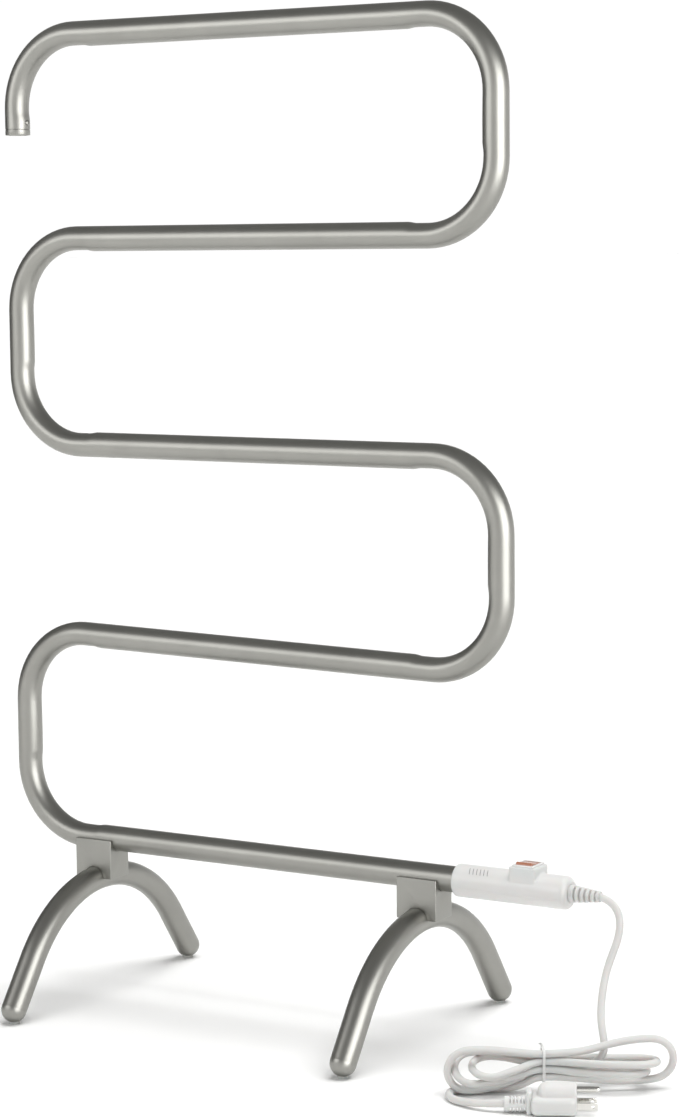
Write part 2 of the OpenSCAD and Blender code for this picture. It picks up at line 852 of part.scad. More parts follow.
frame_tube();
tube_end_cap();
end_cap_screw();
heating_cable();
heating_cable_seal();
cable_splice_sleeve();
saddle_block(left_foot_x);  // left_saddle_block
saddle_block(right_foot_x);  // right_saddle_block
foot_arch(left_foot_x);  // left_foot_arch
foot_arch(right_foot_x);  // right_foot_arch
foot_cap(left_foot_x, -1);  // front_left_foot_cap
foot_cap(left_foot_x, 1);  // rear_left_foot_cap
foot_cap(right_foot_x, -1);  // front_right_foot_cap
foot_cap(right_foot_x, 1);  // rear_right_foot_cap
foot_pad(left_foot_x, -1);  // front_left_foot_pad
foot_pad(left_foot_x, 1);  // rear_left_foot_pad
foot_pad(right_foot_x, -1);  // front_right_foot_pad
foot_pad(right_foot_x, 1);  // rear_right_foot_pad
foot_bolts();
foot_washers();
rail_rivet_nuts();
housing_upper_shell();
housing_lower_shell();
housing_screws();
tube_locator_ring();
switch_body();
rocker();
switch_plunger();
switch_spring();
contact_blade();
switch_terminals();
neon_lamp();
thermal_cutout();
live_wire();
neutral_wire();
earth_wire();
crimp_connectors();
earth_tag();
earth_screw();
cord_clamp();
cord_clamp_screws();
strain_relief();
cord_drop();
cord_hank();
cord_tie();
cord_tail();
plug_body();
plug_blades();
plug_ground_pin();
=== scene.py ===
"""Looks of a freestanding towel warmer rack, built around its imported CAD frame. Lengths are in metres."""

import json
import math

import bmesh
import bpy
from mathutils import Euler, Matrix, Vector


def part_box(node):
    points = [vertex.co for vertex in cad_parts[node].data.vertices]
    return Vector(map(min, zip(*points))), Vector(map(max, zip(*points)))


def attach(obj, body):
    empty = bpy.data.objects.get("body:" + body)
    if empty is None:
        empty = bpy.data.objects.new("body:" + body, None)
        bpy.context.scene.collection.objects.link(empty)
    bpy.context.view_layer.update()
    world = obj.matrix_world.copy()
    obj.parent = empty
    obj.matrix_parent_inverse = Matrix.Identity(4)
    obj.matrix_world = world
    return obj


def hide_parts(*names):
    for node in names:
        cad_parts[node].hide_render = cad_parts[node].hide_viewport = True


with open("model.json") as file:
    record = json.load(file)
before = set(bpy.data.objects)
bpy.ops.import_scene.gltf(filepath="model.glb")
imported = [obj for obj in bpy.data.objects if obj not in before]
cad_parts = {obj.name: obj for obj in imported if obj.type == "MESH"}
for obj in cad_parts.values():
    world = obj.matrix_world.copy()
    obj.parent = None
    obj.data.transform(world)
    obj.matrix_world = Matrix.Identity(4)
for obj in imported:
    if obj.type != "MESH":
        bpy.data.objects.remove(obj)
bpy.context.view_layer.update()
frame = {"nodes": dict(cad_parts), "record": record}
NODES = frame["nodes"]
MM = 0.001
UP = Vector((0, 0, 1))

# ---- camera, at the photograph's angle ----

CAMERA_PLACE = Vector((1340.85, -2096.12, 678.82)) * MM
CAMERA_YAW = math.radians(31.371)
CAMERA_PITCH = math.radians(6.257)
CAMERA_ROLL = math.radians(-0.538)
SENSOR = 36.0
FOCAL = 92.98


def make_camera():
    data = bpy.data.cameras.new("camera")
    data.sensor_width = SENSOR
    data.lens = FOCAL
    data.clip_start, data.clip_end = 0.05, 500
    camera = bpy.data.objects.new("camera", data)
    bpy.context.scene.collection.objects.link(camera)
    turn = Euler((math.pi / 2 - CAMERA_PITCH, 0, CAMERA_YAW)).to_matrix()
    turn = turn @ Matrix.Rotation(CAMERA_ROLL, 3, "Z")
    camera.matrix_world = Matrix.Translation(CAMERA_PLACE) @ turn.to_4x4()
    bpy.context.scene.camera = camera


make_camera()

# ---- places that the CAD frame gives ----


def centre_of(node):
    low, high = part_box(node)
    return (low + high) / 2


TUBE_LOW, TUBE_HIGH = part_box("frame_tube")
TUBE_R = TUBE_HIGH.y
LEFT_X = TUBE_LOW.x + TUBE_R
RIGHT_LOW_X = TUBE_HIGH.x - TUBE_R
TOP_RAIL_Z = TUBE_HIGH.z - TUBE_R
HOUSING_LOW, HOUSING_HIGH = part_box("housing_upper_shell")
RAIL_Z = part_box("housing_lower_shell")[0].z + (HOUSING_HIGH.y - HOUSING_LOW.y) / 2
RELIEF_LOW, RELIEF_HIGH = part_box("strain_relief")
CORD_D = 6.2 * MM

# ---- materials, one procedural set per slot of the record ----


def node_of(tree, kind, **values):
    node = tree.nodes.new(kind)
    for name, value in values.items():
        node.inputs[name].default_value = value
    return node


def blank_material(name):
    material = bpy.data.materials.new(name)
    material.use_nodes = True
    tree = material.node_tree
    tree.nodes.clear()
    shader = tree.nodes.new("ShaderNodeBsdfPrincipled")
    output = tree.nodes.new("ShaderNodeOutputMaterial")
    tree.links.new(shader.outputs[0], output.inputs[0])
    place = tree.nodes.new("ShaderNodeTexCoord").outputs["Object"]
    return material, tree, shader, place


def mottle(tree, place, scale, detail=3.0):
    noise = node_of(tree, "ShaderNodeTexNoise", Scale=scale, Detail=detail, Roughness=0.55)
    tree.links.new(place, noise.inputs["Vector"])
    return noise.outputs["Fac"]


def ramp(tree, fac, low, high):
    """The colour low where the noise is weak, high where it is strong."""
    blend = tree.nodes.new("ShaderNodeValToRGB")
    for element, position, colour in zip(blend.color_ramp.elements, (0.3, 0.7), (low, high)):
        element.position = position
        element.color = (*colour, 1)
    tree.links.new(fac, blend.inputs["Fac"])
    return blend.outputs["Color"]


def shade(colour, factor):
    return tuple(channel * factor for channel in colour)


def surface(name, colour, rough, *, spread=0.08, grain=900.0, depth=0.02, patch=40.0, vary=0.05, fixed=None):
    """A material whose colour drifts over patches, and whose roughness and fine bump follow a grain."""
    material, tree, shader, place = blank_material(name)
    drift = ramp(tree, mottle(tree, place, patch), shade(colour, 1 - vary), shade(colour, 1 + vary))
    tree.links.new(drift, shader.inputs["Base Color"])
    grains = mottle(tree, place, grain, 4.0)
    limits = node_of(tree, "ShaderNodeMapRange")
    limits.inputs["To Min"].default_value = rough - spread
    limits.inputs["To Max"].default_value = rough + spread
    tree.links.new(grains, limits.inputs["Value"])
    tree.links.new(limits.outputs["Result"], shader.inputs["Roughness"])
    bump = node_of(tree, "ShaderNodeBump", Strength=depth, Distance=0.0004)
    tree.links.new(grains, bump.inputs["Height"])
    tree.links.new(bump.outputs["Normal"], shader.inputs["Normal"])
    for socket, value in (fixed or {}).items():
        shader.inputs[socket].default_value = value
    return material


METAL = {"Metallic": 1.0}
MATERIALS = {
    "satin_nickel": surface("satin_nickel", (0.302, 0.299, 0.279), 0.375, spread=0.05, grain=1400, depth=0.05,
                            patch=22, vary=0.05, fixed=METAL),
    "bright_steel": surface("bright_steel", (0.62, 0.62, 0.61), 0.22, fixed=METAL),
    "dark_steel": surface("dark_steel", (0.06, 0.06, 0.065), 0.38, fixed=METAL),
    "brass_parts": surface("brass_parts", (0.62, 0.46, 0.2), 0.28, fixed=METAL),
    "plug_nickel": surface("plug_nickel", (0.66, 0.65, 0.62), 0.16, depth=0.01, fixed=METAL),
    "silicone_red": surface("silicone_red", (0.4, 0.08, 0.06), 0.5),
    "silicone_grey": surface("silicone_grey", (0.3, 0.3, 0.31), 0.55),
    "foot_rubber": surface("foot_rubber", (0.42, 0.42, 0.4), 0.5, depth=0.06,
                           fixed={"Subsurface Weight": 0.1}),
    "housing_white": surface("housing_white", (0.65, 0.65, 0.64), 0.3, spread=0.04, depth=0.02, vary=0.012,
                             fixed={"Coat Weight": 0.25, "Coat Roughness": 0.12, "Subsurface Weight": 0.06}),
    "switch_white": surface("switch_white", (0.69, 0.69, 0.68), 0.25, spread=0.03, vary=0.01,
                            fixed={"Coat Weight": 0.2, "Coat Roughness": 0.1}),
    "inner_plastic": surface("inner_plastic", (0.76, 0.74, 0.68), 0.45),
    "lamp_glass": surface("lamp_glass", (0.95, 0.5, 0.25), 0.1,
                          fixed={"Emission Color": (1, 0.4, 0.15, 1), "Emission Strength": 1.5}),
    "wire_brown": surface("wire_brown", (0.2, 0.09, 0.05), 0.42),
    "wire_blue": surface("wire_blue", (0.06, 0.16, 0.45), 0.42),
    "wire_green": surface("wire_green", (0.22, 0.45, 0.1), 0.42),
    "cord_white": surface("cord_white", (0.6, 0.6, 0.59), 0.42, spread=0.05, grain=1600, depth=0.05,
                          vary=0.015, fixed={"Subsurface Weight": 0.08, "Sheen Weight": 0.05}),
    "tie_white": surface("tie_white", (0.72, 0.72, 0.71), 0.35, vary=0.01),
    "plug_white": surface("plug_white", (0.65, 0.65, 0.64), 0.38, spread=0.05, grain=1200, depth=0.04,
                          vary=0.015, fixed={"Subsurface Weight": 0.06}),
    "print_grey": surface("print_grey", (0.2, 0.2, 0.2), 0.5),
    # The rocker's faint orange emission is painted glow: the rocker is no lamp, and the emission stands in
    # for the lamp light that would shine through it.
    "rocker_amber": surface("rocker_amber", (0.5, 0.2, 0.11), 0.16, spread=0.04, depth=0.01, vary=0.06,
                            fixed={"Transmission Weight": 0.35, "Coat Weight": 0.6, "Coat Roughness": 0.05,
                                   "Emission Color": (1, 0.45, 0.28, 1), "Emission Strength": 0.04}),
}

for part in frame["record"]["subparts"]:
    slots = NODES[part["node"]].data.materials
    slots.clear()
    slots.append(MATERIALS[part["material_slot"]])

# ---- mesh helpers ----


def finish_piece(mesh, name, slot, replaced, body="rack", smooth_angle=35):
    """Shades a mesh, gives it its slot's material, and lets it ride in place of the nodes it replaces."""
    piece = bpy.data.objects.new(name, mesh)
    bpy.context.scene.collection.objects.link(piece)
    mesh.materials.clear()
    mesh.materials.append(MATERIALS[slot])
    mesh.polygons.foreach_set("use_smooth", [True] * len(mesh.polygons))
    mesh.set_sharp_from_angle(angle=math.radians(smooth_angle))
    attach(piece, body)
    if replaced:
        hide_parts(*replaced)
    return piece


def mesh_from(build, name):
    bm = bmesh.new()
    build(bm)
    bmesh.ops.recalc_face_normals(bm, faces=bm.faces)
    mesh = bpy.data.meshes.new(name)
    bm.to_mesh(mesh)
    bm.free()
    return mesh


def skin_rings(bm, rings, joined=False):
    """Faces between neighbouring rings of points. The ends are capped, or joined to each other."""
    loops = [[bm.verts.new(point) for point in ring] for ring in rings]
    for a, b in zip(loops, loops[1:] + loops[:1] if joined else loops[1:]):
        for i in range(len(a)):
            j = (i + 1) % len(a)
            bm.faces.new((a[i], a[j], b[j], b[i]))
    if not joined:
        bm.faces.new(loops[0][::-1])
        bm.faces.new(loops[-1])


def spin_rings(profile, origin, along, across, sides, shape=None):
    """Rings of a turned shape. The profile is [(distance along, radius)]; shape scales the radius."""
    third = along.cross(across)
    rings = []
    for distance, radius in profile:
        ring = []
        for k in range(sides):
            angle = 2 * math.pi * k / sides
            reach = radius * (shape(distance, angle) if shape else 1)
            out = across * math.cos(angle) + third * math.sin(angle)
            ring.append(origin + along * distance + out * reach)
        rings.append(ring)
    return rings


def swept_rings(points, radius, sides):
    """Rings of a tube along points in a plane square to X."""
    across = Vector((1, 0, 0))
    rings = []
    for i, point in enumerate(points):
        heading = (points[min(i + 1, len(points) - 1)] - points[max(i - 1, 0)]).normalized()
        third = heading.cross(across)
        turns = [2 * math.pi * k / sides for k in range(sides)]
        rings.append([point + (across * math.cos(a) + third * math.sin(a)) * radius for a in turns])
    return rings


def modifier_mesh(mesh, name, modifiers):
    """The mesh after modifiers, each given as (kind, {setting: value})."""
    holder = bpy.data.objects.new(name, mesh)
    bpy.context.scene.collection.objects.link(holder)
    for kind, settings in modifiers:
        modifier = holder.modifiers.new(kind, kind)
        for key, value in settings.items():
            setattr(modifier, key, value)
    graph = bpy.context.evaluated_depsgraph_get()
    done = bpy.data.meshes.new_from_object(holder.evaluated_get(graph))
    bpy.data.objects.remove(holder)
    return done


def boolean(mesh, other, operation, name):
    """The mesh joined with the other one, or with the other one taken away."""
    cutter = bpy.data.objects.new(name + "_tool", other)
    bpy.context.scene.collection.objects.link(cutter)
    settings = {"operation": operation, "object": cutter, "solver": "EXACT"}
    done = modifier_mesh(mesh, name, [("BOOLEAN", settings)])
    bpy.data.objects.remove(cutter)
    return done


def rounded_box_mesh(name, low, high, radius, segments=4):
    bm = bmesh.new()
    bmesh.ops.create_cube(bm, size=1)
    size = high - low
    bmesh.ops.scale(bm, vec=size, verts=bm.verts)
    bmesh.ops.translate(bm, vec=(low + high) / 2, verts=bm.verts)
    bmesh.ops.bevel(bm, geom=bm.edges[:], offset=radius, segments=segments, profile=0.5, affect="EDGES")
    mesh = bpy.data.meshes.new(name)
    bm.to_mesh(mesh)
    bm.free()
    return mesh


def smooth_step(value):
    value = min(max(value, 0.0), 1.0)
    return value * value * (3 - 2 * value)


# ---- cord: the routes of its free stretches, as in the CAD source, and its hank ----

HANK_ORIGIN = Vector((256.5, -123, 0)) * MM
HANK_HEADING = math.radians(35)
HANK_ALONG = Vector((math.cos(HANK_HEADING), math.sin(HANK_HEADING), 0))
HANK_BACK = Vector((-math.sin(HANK_HEADING), math.cos(HANK_HEADING), 0))

DROP_ROUTE = [
    (301.1, 0, 142), (311.1, 0, 142),
    (319, 0, 139.5), (326, -1, 134.5), (330, -3, 127), (331.5, -6, 118), (330.5, -10, 108),
    (328.5, -15, 98), (327, -21, 87), (327.5, -28, 76), (329.5, -36, 64), (333, -44, 53),
    (338, -51, 43.5), (341.5, -54.5, 36.1),
]
TAIL_ROUTE = [
    (260, -116, 3.2), (251.5, -121.5, 3.2), (245, -129, 3.2), (244.5, -138.5, 3.2), (250, -147, 3.2),
    (258.5, -153, 3.3), (269.5, -156.5, 4), (281, -157.5, 5.2), (292, -156.5, 6.4), (302, -154, 7.2),
]


def in_hank(along, height, back):
    return HANK_ORIGIN + (HANK_ALONG * along + HANK_BACK * back + UP * height) * MM


TIE_AT = 58
FRONT, BACK = -2.7, 2.7
# Heights of the seven strands where the tie holds them, in the front row and in the back row
SLOT = {
    "front_1": (32, FRONT), "front_2": (25.7, FRONT), "front_3": (19.4, FRONT), "front_4": (13.1, FRONT),
    "back_1": (28.9, BACK), "back_2": (22.6, BACK), "back_3": (16.2, BACK),
}


def at_tie(slot):
    """The strand's three points through the tie, from right to left."""
    height, back = SLOT[slot]
    return [(TIE_AT + step, height, back) for step in (7, 0, -7)]


def fold(tip, first, second, steps=9):
    """A half turn of the hank: from the point first = (height, back) to second, around the given tip."""
    (z0, n0), (z1, n1) = first, second
    reach = math.hypot(z1 - z0, n1 - n0) / 2
    side = 1 if tip > TIE_AT else -1
    centre = tip - side * reach
    points = []
    for k in range(steps):
        angle = math.pi * k / (steps - 1)
        blend = (1 - math.cos(angle)) / 2
        along = centre + side * reach * math.sin(angle)
        points.append((along, z0 + (z1 - z0) * blend, n0 + (n1 - n0) * blend))
    return points


def hank_points():
    """The hank's route in (along, height, back), from the drop's end to the tail's start."""
    leftward, rightward = at_tie, lambda slot: at_tie(slot)[::-1]
    return [
        (108.3, 30, 4.2), (104.5, 24.8, 2.4), (97.5, 21, 1.6), (88, 19.6, 1.6), (76, 20.3, 2),
        *leftward("back_2"),
        (42, 23.7, 8), (28, 25.7, 13),
        *fold(0, (26.3, 16), (17.2, -16)),
        (28, 20.4, -13), (42, 23.2, -8),
        *rightward("front_2"),
        (80, 25.3, -6), (100, 24.8, -11),
        *fold(151, (24, -14), (21, 17)),
        (105, 22.5, 15.5), (82, 25.5, 11),
        *leftward("back_1"),
        (42, 30.4, 5.5), (24, 31.2, 9),
        *fold(-14, (31.5, 11), (10.8, -11)),
        (22, 13.4, -9), (38, 16, -5.6),
        *rightward("front_3"),
        (80, 18, -6.5), (100, 17, -11),
        *fold(143, (16.5, -14), (14, 17)),
        (100, 14.2, 14), (80, 15, 9),
        *leftward("back_3"),
        (44, 13.7, 1.6), (34, 10.8, 0.2), (22, 7, -2),
        *fold(-20, (3.4, -3.4), (37, -3)),
        (16, 36.4, -3), (36, 34, -3),
        *rightward("front_1"),
        (80, 32.5, -2.5), (95, 34.2, -1.5), (110, 37.6, -0.5), (127, 40.6, 0),
        *fold(164, (41.6, 0), (8.2, 0)),
        (126, 7.6, -1), (106, 9, -2), (84, 11.6, -2.6),
        *leftward("front_4"),
        (44, 7.8, -0.8), (34, 4.3, 1.2), (24, 3.2, 2.9), (15, 3.2, 3.7),
    ]


SPAN_STEPS = 16
CORD_STEP = 2 * MM
EASING_ROUNDS = 12
# How far the cord runs on inside the plug's relief
HIDDEN_END = 6 * MM


def through(points, spacing):
    """A smooth line through the points (centripetal Catmull-Rom), at an even spacing."""
    ends = [points[0] * 2 - points[1], *points, points[-1] * 2 - points[-2]]
    dense = []
    for a, b, c, d in zip(ends, ends[1:], ends[2:], ends[3:]):
        t1 = max((b - a).length, 1e-6) ** 0.5
        t2 = t1 + max((c - b).length, 1e-6) ** 0.5
        t3 = t2 + max((d - c).length, 1e-6) ** 0.5
        for k in range(SPAN_STEPS):
            t = t1 + (t2 - t1) * k / SPAN_STEPS
            p = a.lerp(b, t / t1)
            q = b.lerp(c, (t - t1) / (t2 - t1))
            r = c.lerp(d, (t - t2) / (t3 - t2))
            dense.append(p.lerp(q, t / t2).lerp(q.lerp(r, (t - t1) / (t3 - t1)), (t - t1) / (t2 - t1)))
    dense.append(points[-1])
    return evenly(dense, spacing)


def evenly(points, spacing):
    """The same line with its points an even spacing apart."""
    total = sum((b - a).length for a, b in zip(points, points[1:]))
    count = max(round(total / spacing), 2)
    step, due, walked, out = total / count, 0.0, 0.0, []
    for a, b in zip(points, points[1:]):
        length = (b - a).length
        while due <= walked + length and length > 0 and len(out) < count:
            out.append(a.lerp(b, (due - walked) / length))
            due += step
        walked += length
    out.append(points[-1])
    return out


def relaxed(points, rounds, pinned=4):
    """The line with its small kinks eased out; its ends stay."""
    for _ in range(rounds):
        points = [
            p if i < pinned or i >= len(points) - pinned else (points[i - 1] + p * 2 + points[i + 1]) / 4
            for i, p in enumerate(points)
        ]
    return points


def make_cord():
    free = [Vector(p) * MM for p in DROP_ROUTE]
    hank = [in_hank(*p) for p in hank_points()]
    tail = [Vector(p) * MM for p in TAIL_ROUTE]
    plug_dir = (centre_of("plug_ground_pin") - centre_of("plug_body")).normalized()
    inside = tail[-1] + Vector((plug_dir.x, plug_dir.y, 0)).normalized() * HIDDEN_END
    line = relaxed(through([*free, *hank, *tail, inside], CORD_STEP), EASING_ROUNDS)
    floor_z = CORD_D / 2
    line = [Vector((p.x, p.y, max(p.z, floor_z))) for p in line]
    data = bpy.data.curves.new("mains_cord", "CURVE")
    data.dimensions = "3D"
    data.bevel_depth = CORD_D / 2
    data.bevel_resolution = 5
    data.use_fill_caps = True
    spline = data.splines.new("POLY")
    spline.points.add(len(line) - 1)
    for point, place in zip(spline.points, line):
        point.co = (*place, 1)
    spline.use_smooth = True
    cord = bpy.data.objects.new("mains_cord", data)
    bpy.context.scene.collection.objects.link(cord)
    data.materials.append(MATERIALS["cord_white"])
    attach(cord, "rack")
    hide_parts("cord_drop", "cord_hank", "cord_tail")
    shown = sum((b - a).length for a, b in zip(line, line[1:]))
    return cord, shown


CORD, CORD_LENGTH = make_cord()

# ---- bent tube ----

END_RING = 5.5 * MM
DROP_END_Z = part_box("tube_end_cap")[0].z + END_RING
UPPER_RAIL_Z = 684 * MM
MIDDLE_RAIL_Z = 500 * MM
# The second rail from the bottom falls a little to the right
FALLING_RAIL_LEFT_Z = 328.5 * MM
FALLING_RAIL_RIGHT_Z = 319.2 * MM
# How much less far out the upper right bend stands than the lower one
UPPER_BEND_INSET = 3.5 * MM
HIDDEN_IN_HOUSING = 20 * MM
BEND_R = 64 * MM
BEND_STEPS = 18
FILL_STEP = 20 * MM
# Where the drawn-in tube grows to its full size again: how far past a bend, and over what length
RAIL_STEP = (11 * MM, 8 * MM)
UPPER_STEP = (1 * MM, 26 * MM)
LOWER_STEP = (2 * MM, 9 * MM)
# How deep the bends are drawn in on their inner side, and the share of it left where an upright begins
INNER_DRAW = 1.05 * MM
UPPER_DRAW = 0.4
TUBE_SIDES = 56


def corner_arc(corner, before, after):
    """The bend that rounds a corner: its points, its centre, and the headings into it and out of it."""
    u, v = (corner - before).normalized(), (after - corner).normalized()
    turn = math.acos(max(-1, min(1, u.dot(v))))
    cut = BEND_R * math.tan(turn / 2)
    side = (v - u * u.dot(v)).normalized()
    centre = corner - u * cut + side * BEND_R
    points = []
    for k in range(BEND_STEPS + 1):
        angle = turn * k / BEND_STEPS
        points.append(centre - side * BEND_R * math.cos(angle) + u * BEND_R * math.sin(angle))
    return points, centre, u, v


def tube_corners():
    """The corners of the tube's line, from its free end at the top left to the housing."""
    left, right = LEFT_X, RIGHT_LOW_X - UPPER_BEND_INSET
    places = [
        (left, DROP_END_Z), (left, TOP_RAIL_Z), (right, TOP_RAIL_Z), (right, UPPER_RAIL_Z),
        (left, UPPER_RAIL_Z), (left, MIDDLE_RAIL_Z), (RIGHT_LOW_X, MIDDLE_RAIL_Z),
        (RIGHT_LOW_X, FALLING_RAIL_RIGHT_Z), (left, FALLING_RAIL_LEFT_Z), (left, RAIL_Z),
        (HOUSING_LOW.x + HIDDEN_IN_HOUSING, RAIL_Z),
    ]
    return [Vector((x, 0, z)) for x, z in places]


def tube_stations():
    """The tube's sections in order: (place, direction of the bend's inner side, share of the full draw)."""
    corners = tube_corners()
    stations = [(corners[0], None, 0.0)]
    for before, corner, after in zip(corners, corners[1:], corners[2:]):
        arc, centre, u, v = corner_arc(corner, before, after)
        inner = [(centre - point).normalized() for point in arc]
        room, step = LOWER_STEP if abs(u.z) > 0.5 else RAIL_STEP
        for part in (1, 0.75, 0.5, 0.25, 0):
            stations.append((arc[0] - u * (room + part * step), inner[0], 1 - part))
        above_upright = abs(v.z) > 0.5
        room, step = UPPER_STEP if above_upright else RAIL_STEP
        last = UPPER_DRAW if above_upright else 1.0
        for k, (point, side) in enumerate(zip(arc, inner)):
            stations.append((point, side, 1 - (1 - last) * k / BEND_STEPS))
        for part in (0, 0.25, 0.5, 0.75, 1):
            stations.append((arc[-1] + v * (room + part * step), inner[-1], last * (1 - part)))
    stations.append((corners[-1], None, 0.0))
    return stations


def filled_in(stations):
    """The sections with more of them on long straights, so that the shading stays even."""
    filled = [stations[0]]
    for station in stations[1:]:
        start = filled[-1][0]
        extra = int((station[0] - start).length / FILL_STEP)
        for k in range(1, extra + 1):
            filled.append((start.lerp(station[0], k / (extra + 1)), None, 0.0))
        filled.append(station)
    return filled


def build_tube(bm):
    stations = filled_in(tube_stations())
    normal = Vector((0, 1, 0))
    rings = []
    for i, (point, side, drawn) in enumerate(stations):
        before = stations[max(i - 1, 0)][0]
        after = stations[min(i + 1, len(stations) - 1)][0]
        third = (after - before).normalized().cross(normal)
        ring = []
        for k in range(TUBE_SIDES):
            angle = 2 * math.pi * k / TUBE_SIDES
            out = normal * math.cos(angle) + third * math.sin(angle)
            inward = max(out.dot(side), 0.0) if side else 0.0
            ring.append(point + out * (TUBE_R - INNER_DRAW * smooth_step(drawn) * inward ** 1.5))
        rings.append(ring)
    skin_rings(bm, rings)


finish_piece(mesh_from(build_tube, "bent_tube"), "bent_tube", "satin_nickel", ["frame_tube"])


def build_end_cap(bm):
    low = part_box("tube_end_cap")[0].z
    groove = 0.45 * MM
    rim = 0.8 * MM
    profile = [(0, TUBE_R - 2.6 * MM), (0, TUBE_R - rim), (0.25 * rim, TUBE_R - 0.3 * rim), (rim, TUBE_R),
               (END_RING - 2 * groove, TUBE_R), (END_RING - 1.6 * groove, TUBE_R - groove),
               (END_RING - 0.3 * groove, TUBE_R - groove), (END_RING, TUBE_R - 1.2 * groove)]
    dish = (1.4 * MM, TUBE_R - 3 * MM)
    origin = Vector((LEFT_X, 0, low))
    skin_rings(bm, spin_rings([dish, *profile], origin, UP, Vector((1, 0, 0)), TUBE_SIDES))


finish_piece(mesh_from(build_end_cap, "drop_end_cap"), "drop_end_cap", "satin_nickel", ["tube_end_cap"])


def build_cap_screw(bm):
    low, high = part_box("end_cap_screw")
    head_r = high.y
    origin = Vector((high.x - 1.5 * MM, 0, (low.z + high.z) / 2))
    profile = [(-1.2 * MM, head_r), (0.35 * MM, head_r), (0.8 * MM, head_r * 0.86),
               (1.2 * MM, head_r * 0.6), (1.35 * MM, head_r * 0.35), (0.9 * MM, head_r * 0.3),
               (0.8 * MM, head_r * 0.05)]
    skin_rings(bm, spin_rings(profile, origin, Vector((1, 0, 0)), UP, 32))


finish_piece(mesh_from(build_cap_screw, "drop_end_screw"), "drop_end_screw", "satin_nickel",
             ["end_cap_screw"])

# ---- feet and saddle blocks ----

ARCH_R = 132 * MM
LEG_SLOPE = math.radians(54.5)
ARCH_CROWN_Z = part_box("left_foot_arch")[1].z - TUBE_R
# The centres of the domed foot ends: how far from the middle, and how high
DOME_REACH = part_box("rear_left_foot_cap")[1].y - TUBE_R
DOME_Z = 12.4 * MM
ARCH_STEPS = 40
LEG_STEPS = 6
BLOCK_EDGE = 0.72 * MM
BLOCK_GAP = 0.08 * MM
BLOCK_SIDES = 64


def on_arch(x, angle, crown_z):
    return Vector((x, ARCH_R * math.sin(angle), crown_z - ARCH_R * (1 - math.cos(angle))))


def build_arch(foot_x):
    def build(bm):
        foot_point = Vector((foot_x, -DOME_REACH, DOME_Z))
        hip = on_arch(foot_x, -LEG_SLOPE, ARCH_CROWN_Z)
        leg = [foot_point.lerp(hip, k / LEG_STEPS) for k in range(LEG_STEPS)]
        shares = [2 * k / ARCH_STEPS - 1 for k in range(ARCH_STEPS + 1)]
        bow = [on_arch(foot_x, LEG_SLOPE * share, ARCH_CROWN_Z) for share in shares]
        other_leg = [Vector((foot_x, -p.y, p.z)) for p in reversed(leg)]
        skin_rings(bm, swept_rings([*leg, *bow, *other_leg], TUBE_R, TUBE_SIDES))

    return build


def build_foot_dome(foot_x, sign):
    centre = Vector((foot_x, sign * DOME_REACH, DOME_Z))
    down = Vector((0, sign * math.cos(LEG_SLOPE), -math.sin(LEG_SLOPE)))
    seam = 0.35 * MM

    def build(bm):
        profile = [(-1.6 * MM, TUBE_R - seam), (-0.6 * MM, TUBE_R - seam), (-0.3 * MM, TUBE_R - 0.08 * MM)]
        turns = [math.radians(5 * k) for k in range(18)]
        profile += [(TUBE_R * math.sin(a), TUBE_R * math.cos(a)) for a in turns]
        profile.append((TUBE_R, 0.02 * MM))
        skin_rings(bm, spin_rings(profile, centre, down, Vector((1, 0, 0)), TUBE_SIDES))

    return build


def saddle_mesh(node, name):
    """A block between rail and foot, hollowed for both tubes. Its underside is at the arch's axis."""
    low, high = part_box(node)
    middle_x = (low.x + high.x) / 2
    block = rounded_box_mesh(name, low, high, BLOCK_EDGE, 3)

    def rail(bm):
        skin_rings(bm, spin_rings([(-60 * MM, TUBE_R + BLOCK_GAP), (60 * MM, TUBE_R + BLOCK_GAP)],
                                  Vector((middle_x, 0, RAIL_Z)), Vector((1, 0, 0)), UP, BLOCK_SIDES))

    def arch(bm):
        points = [on_arch(middle_x, math.radians(-14 + 2 * k), low.z) for k in range(15)]
        skin_rings(bm, swept_rings(points, TUBE_R + BLOCK_GAP, BLOCK_SIDES))

    block = boolean(block, mesh_from(rail, name + "_rail"), "DIFFERENCE", name)
    block = boolean(block, mesh_from(arch, name + "_arch"), "DIFFERENCE", name)
    edges = {"width": 0.35 * MM, "segments": 2, "limit_method": "ANGLE", "angle_limit": math.radians(40)}
    return modifier_mesh(block, name, [("BEVEL", edges)])


for side in ("left", "right"):
    foot_x = centre_of(side + "_foot_arch").x
    arch_name = side + "_foot_tube"
    finish_piece(mesh_from(build_arch(foot_x), arch_name), arch_name, "satin_nickel",
                 [side + "_foot_arch"])
    block_name = side + "_saddle"
    finish_piece(saddle_mesh(side + "_saddle_block", block_name), block_name, "satin_nickel",
                 [side + "_saddle_block"])
    for sign, end in ((-1, "front"), (1, "rear")):
        name = f"{end}_{side}_foot_dome"
        finish_piece(mesh_from(build_foot_dome(foot_x, sign), name), name, "satin_nickel",
                     [f"{end}_{side}_foot_cap"])

# ---- control housing ----

HOUSING_R = (HOUSING_HIGH.y - HOUSING_LOW.y) / 2
HOUSING_X0, HOUSING_X1 = HOUSING_LOW.x, HOUSING_HIGH.x
SWITCH_X = centre_of("rocker").x
TOWER_TOP = HOUSING_HIGH.z
TOWER_SIDE = 25 * MM
PARTING_Z = RAIL_Z - 4.2 * MM
PARTING_DEPTH = 0.38 * MM
PARTING_HALF_WIDTH = 0.5 * MM
LEFT_ROUND, RIGHT_ROUND = 2 * MM, 5 * MM
HOUSING_SCREWS_X = (38 * MM, 93 * MM)
SCREW_HOLE_R = 2.35 * MM
RELIEF_BASE_R = 7.4 * MM
ROCKER_PIVOT_Z = TOWER_TOP - 2 * MM


